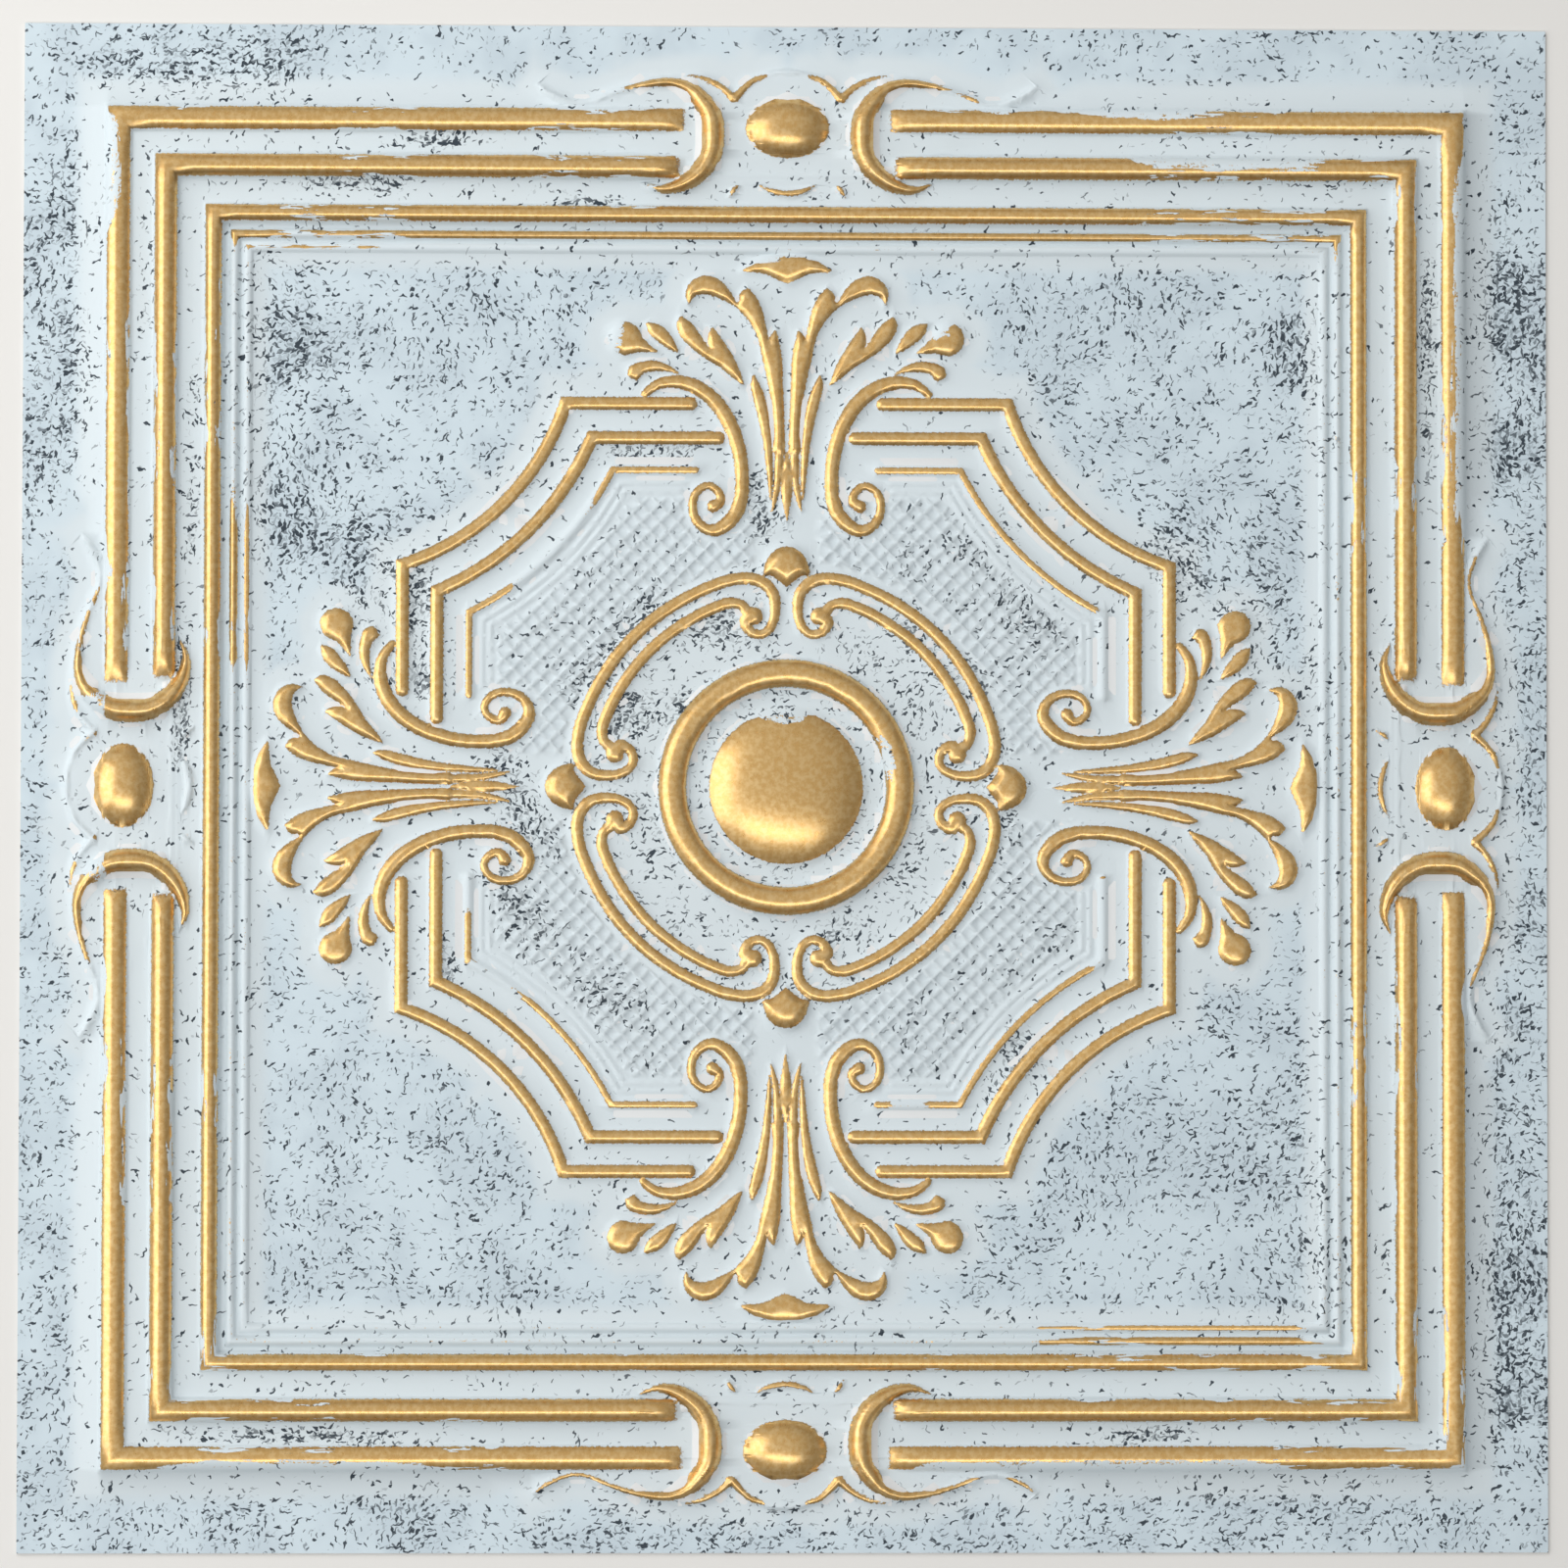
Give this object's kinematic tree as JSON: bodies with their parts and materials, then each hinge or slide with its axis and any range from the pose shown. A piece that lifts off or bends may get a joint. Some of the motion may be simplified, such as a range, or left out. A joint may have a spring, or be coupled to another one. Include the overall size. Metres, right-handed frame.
{
  "type": "ceiling_tile",
  "caption": "Faux tin ceiling tile of thin formed plastic, with a moulded frame, a leafy star octagon and a domed centre, painted distressed white and brushed gold",
  "frame": {"origin": "bottom centre of the tile: the middle of its flat back plane", "axes": "+X and +Y along two sides of the square, +Z out of the decorated face"},
  "size_m": [0.603, 0.603, 0.0098],
  "materials": {
    "painted_sheet": "white distressed paint with brushed gold on the raised ornament"
  },
  "bodies": {
    "root": {"ceiling_tile": "painted_sheet"}
  },
  "joints": []
}
